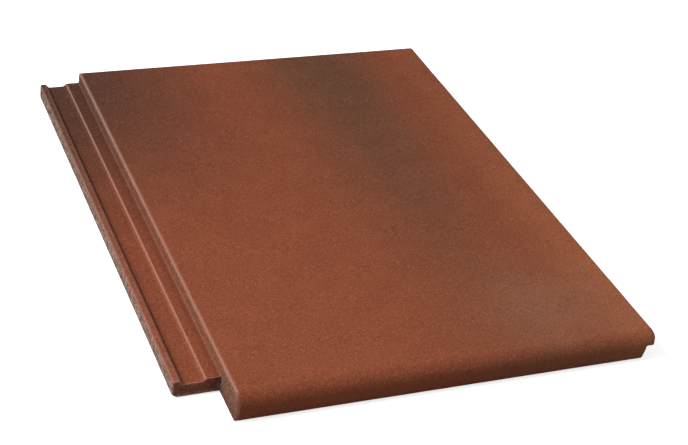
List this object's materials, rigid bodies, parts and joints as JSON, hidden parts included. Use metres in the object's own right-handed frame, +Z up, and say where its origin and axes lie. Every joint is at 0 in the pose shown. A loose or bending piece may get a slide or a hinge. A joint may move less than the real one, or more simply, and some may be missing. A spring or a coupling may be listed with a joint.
{
  "type": "concrete roof tile",
  "caption": "Flat interlocking concrete roof tile with a rounded nose, a grooved underlock strip along one side and hanging nibs under the head.",
  "frame": {"origin": "middle of the tile's plan, on the floor that it lies on", "axes": "+Z up. +Y up the roof slope, from the rounded nose to the head. +X across the slope, from the underlock to the overlock. The tile lies on its nose and on its nibs, so its deck rises towards the head by 1.73 degrees."},
  "size_m": [0.33, 0.4202, 0.0331],
  "materials": {
    "concrete": "satin"
  },
  "bodies": {
    "root": {"roof_tile": "concrete"}
  },
  "joints": []
}
